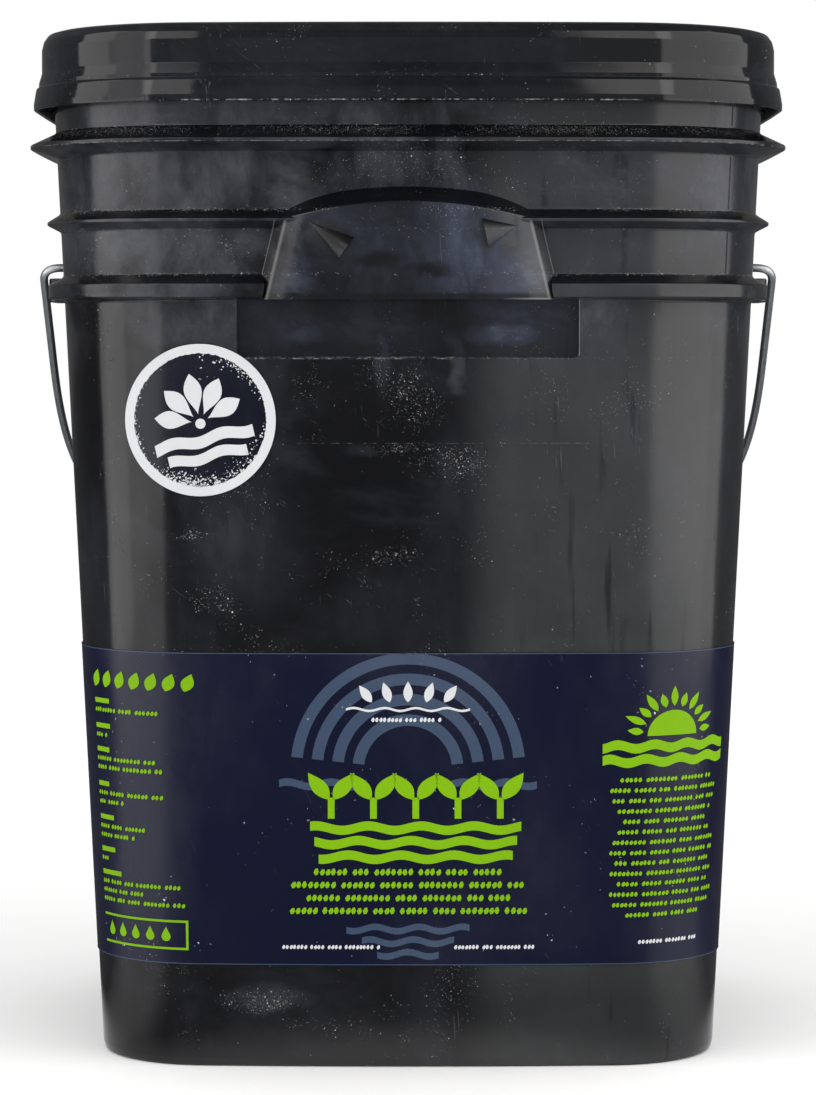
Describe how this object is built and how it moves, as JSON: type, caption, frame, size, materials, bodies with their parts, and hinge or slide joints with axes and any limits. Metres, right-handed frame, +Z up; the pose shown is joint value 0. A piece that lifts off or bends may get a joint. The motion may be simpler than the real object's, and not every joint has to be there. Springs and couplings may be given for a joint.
{
  "type": "rectangular plastic pail with press-on lid",
  "caption": "Rectangular plastic storage pail with a press-on stepped lid, a finger grip in its front wall, a wire bail with a roller grip and a wrap label.",
  "frame": {"origin": "centre of the underside of the base", "axes": "+Z up, -Y towards the finger grip in the front wall, +X to the right seen from the front, along the bail's pivot axis"},
  "size_m": [0.3106, 0.2876, 0.407],
  "materials": {
    "pail_plastic": "moulded black polyethylene with a satin gloss and fine scuffs",
    "lid_plastic": "moulded black polyethylene, a little glossier than the pail",
    "gasket_rubber": "matt foam rubber",
    "galvanised_wire": "galvanised wire, dull zinc grey",
    "roller_plastic": "moulded black plastic, satin",
    "label_film": "printed plastic film, dark navy with lime, white and slate print",
    "sticker_film": "printed plastic film, near-black with a white ring"
  },
  "bodies": {
    "pail_body": {"pail": "pail_plastic", "lid": "lid_plastic", "lid_gasket": "gasket_rubber", "label_wrap": "label_film", "round_sticker": "sticker_film"},
    "bail": {"bail_wire": "galvanised_wire"},
    "roller": {"bail_roller": "roller_plastic"}
  },
  "joints": [
    {"name": "bail_swing", "type": "hinge", "parent": "pail_body", "child": "bail", "pos_m": [0, 0, 0.3152], "axis": [1, 0, 0], "range_deg": [0, 262]},
    {"name": "roller_spin", "type": "hinge", "parent": "bail", "child": "roller", "pos_m": [0, 0.1346, 0.19569], "axis": [1, 0, 0], "continuous": true}
  ]
}
